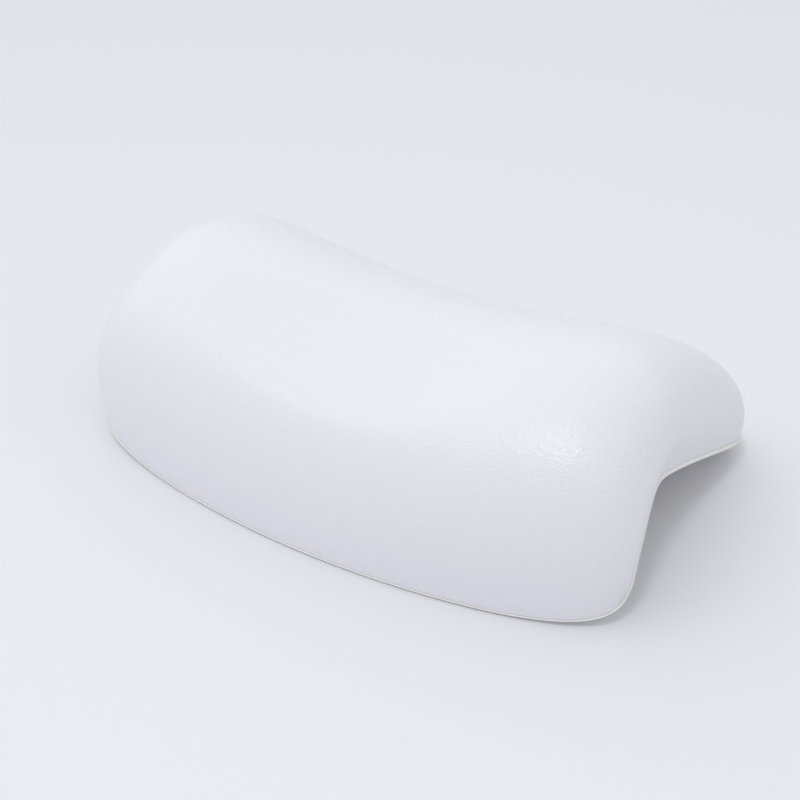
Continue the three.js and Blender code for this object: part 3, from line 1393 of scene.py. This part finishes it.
@dataclass(frozen=True)
class Studio:
    """Table, lamps, sky and camera."""

    azimuth: float = 32.3447
    elevation: float = 35.6474
    roll: float = -0.9298
    distance: float = 0.7743
    target: tuple[float, float, float] = (-0.00388, -0.00590, 0.0295)
    focal_pixels: float = 1539.7794
    frame_pixels: float = 800.0
    sensor: float = 36.0
    table_half: float = 6.0
    sky_strength: float = 0.456
    sky_from_above: float = 0.395
    sky_from_left: float = 0.37
    sky_from_behind: float = 0.12
    backdrop: float = 0.82
    lamps: tuple[Lamp, ...] = (
        Lamp("left_lamp", azimuth=-45.0, elevation=55.0, distance=2.0, width=1.0, power=1.4),
        Lamp("small_lamp", azimuth=20.0, elevation=68.0, distance=1.5, width=0.2, power=2.95),
    )

    def build(self, table: TableTop) -> None:
        """Builds everything round the pillow.

        Args:
            table: Finish of the table.
        """
        self._table(table)
        for lamp in self.lamps:
            lamp.build(Vector(self.target))
        self._sky()
        self._camera()
        bpy.context.scene.view_settings.view_transform = "Standard"

    def _table(self, table: TableTop) -> None:
        """Builds the table's top.

        Args:
            table: Its finish.
        """
        half = self.table_half
        points = [(-half, -half, 0.0), (half, -half, 0.0), (half, half, 0.0), (-half, half, 0.0)]
        mesh = bpy.data.meshes.new("table")
        mesh.from_pydata(points, [], [(0, 1, 2, 3)])
        mesh.materials.append(table.material())
        top = bpy.data.objects.new("table", mesh)
        bpy.context.scene.collection.objects.link(top)

    def _sky(self) -> None:
        """Sets the light of a white tent, stronger from above, left and behind, and a pale backdrop."""
        world = bpy.data.worlds.new("tent")
        world.use_nodes = True
        nodes = Nodes(world.node_tree)
        way = nodes.add("ShaderNodeTexCoord")["Generated"]
        parts = nodes.add("ShaderNodeSeparateXYZ", None, {0: way})
        clipped = {"operation": "MULTIPLY", "use_clamp": True}
        above = nodes.add("ShaderNodeMath", clipped, {0: parts["Z"], 1: 1.0})["Value"]
        left = nodes.add("ShaderNodeMath", clipped, {0: parts["X"], 1: -1.0})["Value"]
        behind = nodes.add("ShaderNodeMath", clipped, {0: parts["Y"], 1: 1.0})["Value"]
        sides = left * self.sky_from_left + behind * self.sky_from_behind
        light = above * self.sky_from_above + sides + self.sky_strength
        seen = nodes.add("ShaderNodeLightPath")["Is Camera Ray"]
        inputs = {"Color": (1.0, 1.0, 1.0, 1.0), "Strength": light * (1.0 - seen) + seen * self.backdrop}
        background = nodes.add("ShaderNodeBackground", None, inputs)["Background"]
        nodes.add("ShaderNodeOutputWorld", None, {"Surface": background})
        bpy.context.scene.world = world

    def _camera(self) -> None:
        """Sets the camera at the photograph's viewpoint."""
        lens = bpy.data.cameras.new("camera")
        lens.sensor_width = self.sensor
        lens.lens = self.focal_pixels / self.frame_pixels * self.sensor
        camera = bpy.data.objects.new("camera", lens)
        back = direction(self.azimuth, self.elevation)
        turn = math.radians(self.azimuth)
        right = Vector((math.cos(turn), math.sin(turn), 0.0))
        up = back.cross(right)
        axes = Matrix((right, up, back)).transposed()
        place = Matrix.Translation(Vector(self.target) + back * self.distance)
        camera.matrix_world = place @ axes.to_4x4() @ Matrix.Rotation(math.radians(self.roll), 4, "Z")
        bpy.context.scene.collection.objects.link(camera)
        bpy.context.scene.camera = camera


def corners(box: tuple[Vector, Vector]) -> list[list[float]]:
    """The corners of a box as plain lists."""
    return [list(corner) for corner in box]


def seat(piece: bpy.types.Object, body: Body) -> None:
    """Lets a piece ride on a body and logs it.

    Args:
        piece: The piece.
        body: The body that carries it.
    """
    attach(piece, body.value)
    LOG.info("%s rides on %s: %d faces", piece.name, body.value, len(piece.data.polygons))


def redress(nodes: Mapping[str, bpy.types.Object], name: str, finish: bpy.types.Material) -> None:
    """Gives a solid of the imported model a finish.

    Args:
        nodes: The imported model's nodes.
        name: The node's name.
        finish: Its material.
    """
    nodes[name].data.materials.clear()
    nodes[name].data.materials.append(finish)
    LOG.info("%s keeps its solid", name)


def main() -> None:
    """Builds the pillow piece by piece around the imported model, and the studio round it."""
    logging.basicConfig(level=logging.INFO, format="%(name)s: %(message)s")
    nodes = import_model()["nodes"]
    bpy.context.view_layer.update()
    form = PillowForm()
    stack = Stack()
    stations = CupPlaces().stations(form)

    seat(CoverSkin(form, stack).build(GrainedSkin().material()), Body.PILLOW)
    seat(UndersideSheet(form, stack, stations).build(SmoothSheet().material()), Body.PILLOW)
    seat(FoamCore(form, stack, stations).build(OpenFoam().material()), Body.PILLOW)
    vinyl = SoftVinyl().material()
    for station in stations:
        seat(SuctionCup(form, station, stack.fit).build(vinyl), station.body)

    redress(nodes, "stiffener_plate", MouldedPlastic("plate_plastic", colour=(0.58, 0.60, 0.63)).material())
    socket_plastic = MouldedPlastic("socket_plastic", colour=(0.69, 0.70, 0.72), roughness=0.4).material()
    for station in stations:
        redress(nodes, f"cup_socket_{station.number}", socket_plastic)

    Studio().build(TableTop())


if __name__ == "__main__":
    main()
